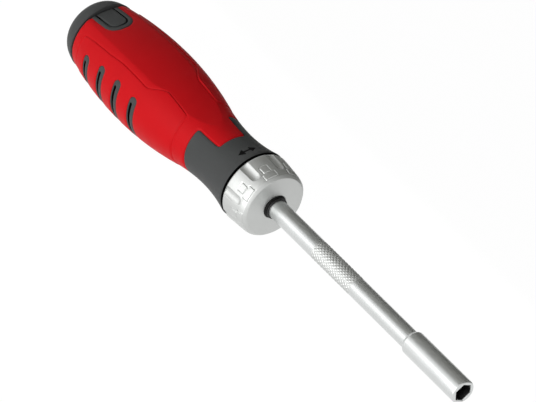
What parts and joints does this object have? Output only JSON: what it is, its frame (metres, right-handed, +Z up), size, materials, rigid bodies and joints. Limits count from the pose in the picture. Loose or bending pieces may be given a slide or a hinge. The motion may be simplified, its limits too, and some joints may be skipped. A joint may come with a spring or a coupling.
{
  "type": "ratcheting screwdriver",
  "caption": "Ratcheting screwdriver with a hex bit socket, a turning direction ring, and a spring-out bit magazine freed by a button in its two-colour grip",
  "frame": {"origin": "middle of the hex socket's mouth, on the blade's axis", "axes": "+X along the blade out of the socket, +Z up through the release button, +Y to the left seen from the handle"},
  "size_m": [0.25, 0.0378, 0.036],
  "materials": {
    "grip_red": "satin soft grip",
    "core_grey": "satin moulded plastic",
    "satin_metal": "satin plated",
    "satin_steel": "satin plated",
    "plain_steel": "machined",
    "black_steel": "blackened",
    "spring_steel": "bright spring steel",
    "bit_steel": "sandblasted",
    "bronze": "sintered",
    "magnet": "plated",
    "black_rubber": "matt",
    "black_plastic": "matt"
  },
  "bodies": {
    "handle": {"grip_core": "core_grey", "grip_overmould": "grip_red", "ratchet_housing": "plain_steel", "pawl_cover": "plain_steel", "cover_screws": "plain_steel", "pawl_pins": "plain_steel", "blade_bush": "bronze", "ring_clip": "black_steel", "housing_screws": "plain_steel", "gap_washer": "black_plastic", "stop_screw": "plain_steel", "eject_spring": "spring_steel"},
    "selector": {"selector_ring": "satin_metal", "pawl_springs": "spring_steel", "dust_seal": "black_rubber"},
    "pawl_a": {"pawl_upper": "plain_steel"},
    "pawl_b": {"pawl_lower": "plain_steel"},
    "blade": {"blade_shaft": "satin_steel", "ratchet_gear": "plain_steel", "bit_socket": "satin_steel", "socket_magnet": "magnet", "bit_clip": "spring_steel", "front_clip": "black_steel", "tail_washer": "plain_steel", "tail_clip": "black_steel"},
    "magazine": {"magazine_cap": "core_grey", "bit_carrier": "black_plastic", "tie_screw": "plain_steel", "latch_leaf": "spring_steel", "latch_rivet": "plain_steel", "bit_slot_5": "bit_steel", "bit_slot_6": "bit_steel", "bit_cross_1": "bit_steel", "bit_cross_2": "bit_steel", "bit_hex_4": "bit_steel", "bit_star_20": "bit_steel"},
    "button": {"release_button": "core_grey"}
  },
  "joints": [
    {"name": "blade_spin", "type": "hinge", "parent": "handle", "child": "blade", "pos_m": [-0.13, 0, 0], "axis": [1, 0, 0], "continuous": true},
    {"name": "selector_turn", "type": "hinge", "parent": "handle", "child": "selector", "pos_m": [-0.13, 0, 0], "axis": [1, 0, 0], "range_deg": [0, 40], "deforming": ["pawl_springs"]},
    {"name": "pawl_upper_rock", "type": "hinge", "parent": "handle", "child": "pawl_a", "pos_m": [-0.13085, 0, 0.00926], "axis": [1, 0, 0], "range_deg": [0, 12.28]},
    {"name": "pawl_lower_rock", "type": "hinge", "parent": "handle", "child": "pawl_b", "pos_m": [-0.13085, 0, -0.00926], "axis": [1, 0, 0], "range_deg": [0, 12.28]},
    {"name": "magazine_slide", "type": "slide", "parent": "handle", "child": "magazine", "axis": [-1, 0, 0], "range_m": [0, 0.042], "deforming": ["eject_spring", "latch_leaf"]},
    {"name": "button_press", "type": "slide", "parent": "handle", "child": "button", "axis": [0, 0, -1], "range_m": [0, 0.0015], "stiffness_N_per_m": 1500, "springref_m": -0.0005, "deforming": ["latch_leaf"]}
  ],
  "couplings": [
    {"joint": "pawl_upper_rock", "follows": "selector_turn", "ratio": 0.30675},
    {"joint": "pawl_lower_rock", "follows": "selector_turn", "ratio": 0.30675}
  ]
}
